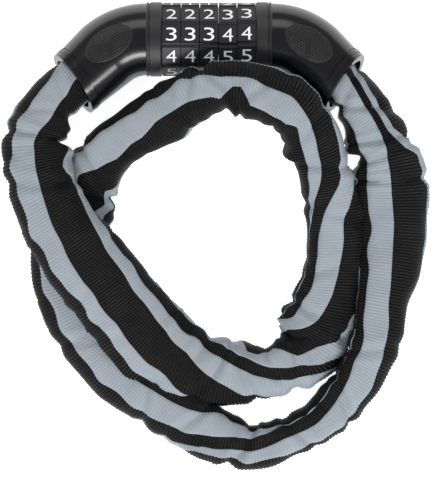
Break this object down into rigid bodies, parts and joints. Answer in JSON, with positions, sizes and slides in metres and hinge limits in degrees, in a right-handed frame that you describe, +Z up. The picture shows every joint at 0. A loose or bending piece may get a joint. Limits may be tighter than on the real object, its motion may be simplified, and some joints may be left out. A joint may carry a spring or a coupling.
{
  "type": "combination chain lock",
  "caption": "Combination lock barrel with numbered dials between two bent covers, holding both ends of a steel chain in a striped nylon sleeve, laid in a double loop.",
  "frame": {"origin": "bottom centre of the lock itself (covers, collars and dials, without the sleeved chain), on the surface it lies on", "axes": "+X along the dial barrel towards the removable end, +Y away from the loop, +Z up from the surface the lock lies on"},
  "size_m": [0.1531, 0.1755, 0.038],
  "materials": {
    "cover_plastic": "satin black moulded plastic",
    "collar_metal": "black coated metal",
    "grip_rubber": "fine meshed matt black rubber",
    "tube_steel": "turned steel",
    "pin_steel": "plain steel",
    "spring_steel": "spring steel",
    "anchor_steel": "milled steel",
    "ferrule_aluminium": "crimped aluminium",
    "sleeve_nylon": "ribbed black woven nylon with four blue-grey reflective stripes",
    "chain_steel": "zinc plated welded steel",
    "dial_metal": "matt black with white numerals",
    "code_brass": "turned brass",
    "bolt_steel": "hardened steel"
  },
  "bodies": {
    "barrel": {"left_elbow": "cover_plastic", "left_collar": "collar_metal", "left_grip_panel": "grip_rubber", "core_tube": "tube_steel", "core_pin": "pin_steel", "spring_washer": "spring_steel", "retaining_ring": "spring_steel", "left_chain_anchor": "anchor_steel", "left_anchor_pin": "pin_steel", "left_sleeve_ferrule": "ferrule_aluminium", "sleeve": "sleeve_nylon", "chain": "chain_steel"},
    "dial_1": {"number_dial_1": "dial_metal", "code_ring_1": "code_brass"},
    "dial_2": {"number_dial_2": "dial_metal", "code_ring_2": "code_brass"},
    "dial_3": {"number_dial_3": "dial_metal", "code_ring_3": "code_brass"},
    "dial_4": {"number_dial_4": "dial_metal", "code_ring_4": "code_brass"},
    "dial_5": {"number_dial_5": "dial_metal", "code_ring_5": "code_brass"},
    "bolt_end": {"right_elbow": "cover_plastic", "right_collar": "collar_metal", "right_grip_panel": "grip_rubber", "lock_bolt": "bolt_steel", "bolt_pin": "pin_steel", "right_chain_anchor": "anchor_steel", "right_anchor_pin": "pin_steel", "right_sleeve_ferrule": "ferrule_aluminium"}
  },
  "joints": [
    {"name": "dial_1_turn", "type": "hinge", "parent": "barrel", "child": "dial_1", "pos_m": [-0.014, 0.0067, 0.014], "axis": [1, 0, 0], "continuous": true},
    {"name": "dial_2_turn", "type": "hinge", "parent": "barrel", "child": "dial_2", "pos_m": [-0.007, 0.0067, 0.014], "axis": [1, 0, 0], "continuous": true},
    {"name": "dial_3_turn", "type": "hinge", "parent": "barrel", "child": "dial_3", "pos_m": [0, 0.0067, 0.014], "axis": [1, 0, 0], "continuous": true},
    {"name": "dial_4_turn", "type": "hinge", "parent": "barrel", "child": "dial_4", "pos_m": [0.007, 0.0067, 0.014], "axis": [1, 0, 0], "continuous": true},
    {"name": "dial_5_turn", "type": "hinge", "parent": "barrel", "child": "dial_5", "pos_m": [0.014, 0.0067, 0.014], "axis": [1, 0, 0], "continuous": true},
    {"name": "bolt_pull", "type": "slide", "parent": "barrel", "child": "bolt_end", "axis": [1, 0, 0], "range_m": [0, 0.04], "deforming": ["sleeve", "chain"]}
  ]
}
